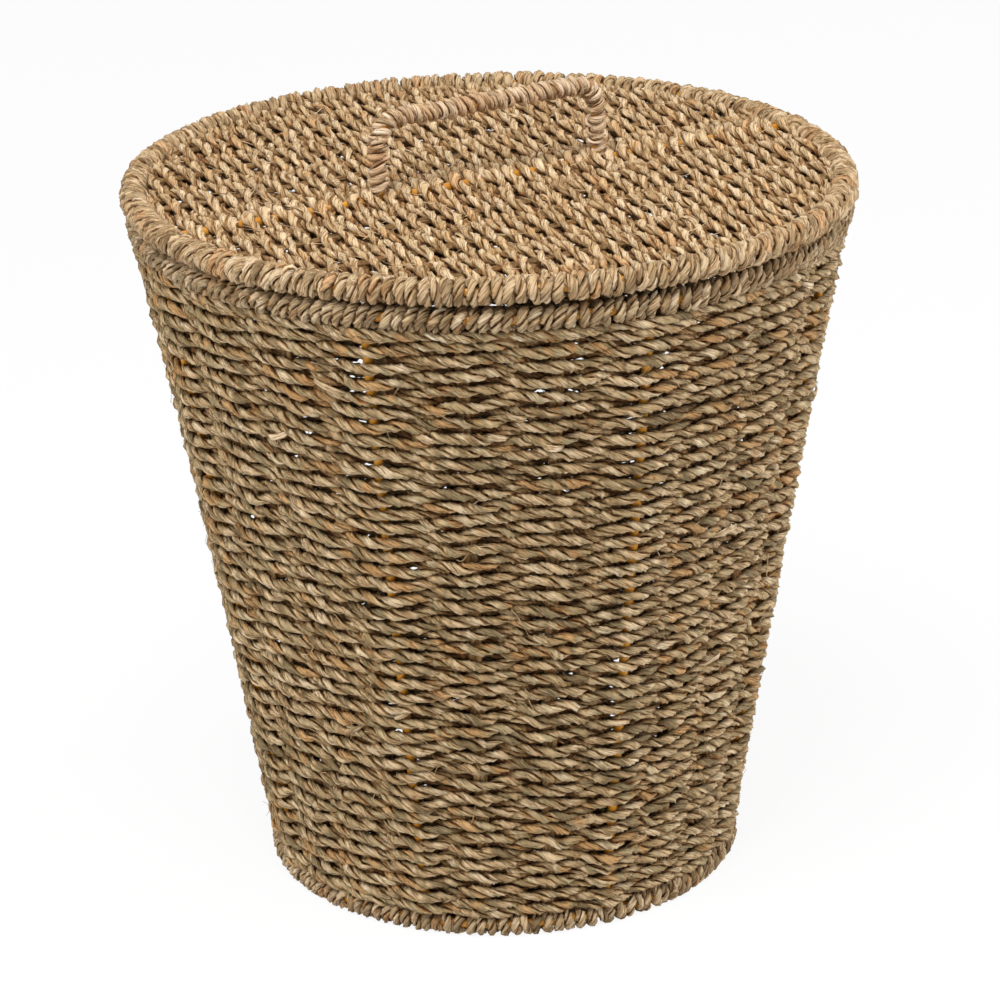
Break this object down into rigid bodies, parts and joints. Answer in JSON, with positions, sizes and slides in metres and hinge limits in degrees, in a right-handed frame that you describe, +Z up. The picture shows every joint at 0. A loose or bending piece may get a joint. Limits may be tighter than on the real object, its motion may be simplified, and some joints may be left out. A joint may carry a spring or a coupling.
{
  "type": "round woven basket with lift-off lid",
  "caption": "Round tapered basket of woven twisted cord on a wire frame, with a flat woven lift-off lid and a wrapped wire handle.",
  "frame": {"origin": "centre of the foot, on the surface the basket stands on", "axes": "+Z up through the lid, +X along the lid's handle"},
  "size_m": [0.381, 0.381, 0.4212],
  "materials": {
    "wire": "satin yellow paint",
    "weave": "matte twisted seagrass cord",
    "stake": "matte seagrass strands",
    "band": "matte flat seagrass bands"
  },
  "bodies": {
    "basket": {"base_binding": "weave", "base_hoop": "wire", "base_panel": "weave", "base_stake_1": "stake", "base_stake_2": "stake", "base_stake_3": "stake", "base_stake_4": "stake", "base_stake_5": "stake", "base_stake_6": "stake", "base_stake_7": "stake", "base_stake_8": "stake", "base_wire": "wire", "rib_wire_1": "wire", "rib_wire_2": "wire", "rib_wire_3": "wire", "rib_wire_4": "wire", "rib_wire_5": "wire", "rib_wire_6": "wire", "rib_wire_7": "wire", "rib_wire_8": "wire", "rim_binding": "band", "rim_hoop": "wire", "wall_stake_1": "stake", "wall_stake_10": "stake", "wall_stake_11": "stake", "wall_stake_12": "stake", "wall_stake_13": "stake", "wall_stake_14": "stake", "wall_stake_15": "stake", "wall_stake_16": "stake", "wall_stake_2": "stake", "wall_stake_3": "stake", "wall_stake_4": "stake", "wall_stake_5": "stake", "wall_stake_6": "stake", "wall_stake_7": "stake", "wall_stake_8": "stake", "wall_stake_9": "stake", "wall_weave": "weave"},
    "lid": {"handle_binding": "band", "handle_wire": "wire", "lid_binding": "band", "lid_hoop": "wire", "lid_panel": "weave", "lid_stake_1": "stake", "lid_stake_2": "stake", "lid_stake_3": "stake", "lid_stake_4": "stake", "lid_stake_5": "stake", "lid_stake_6": "stake", "lid_wire": "wire"}
  },
  "joints": [
    {"name": "lid_lift", "type": "slide", "parent": "basket", "child": "lid", "axis": [0, 0, 1], "range_m": [0, 0.25]}
  ]
}
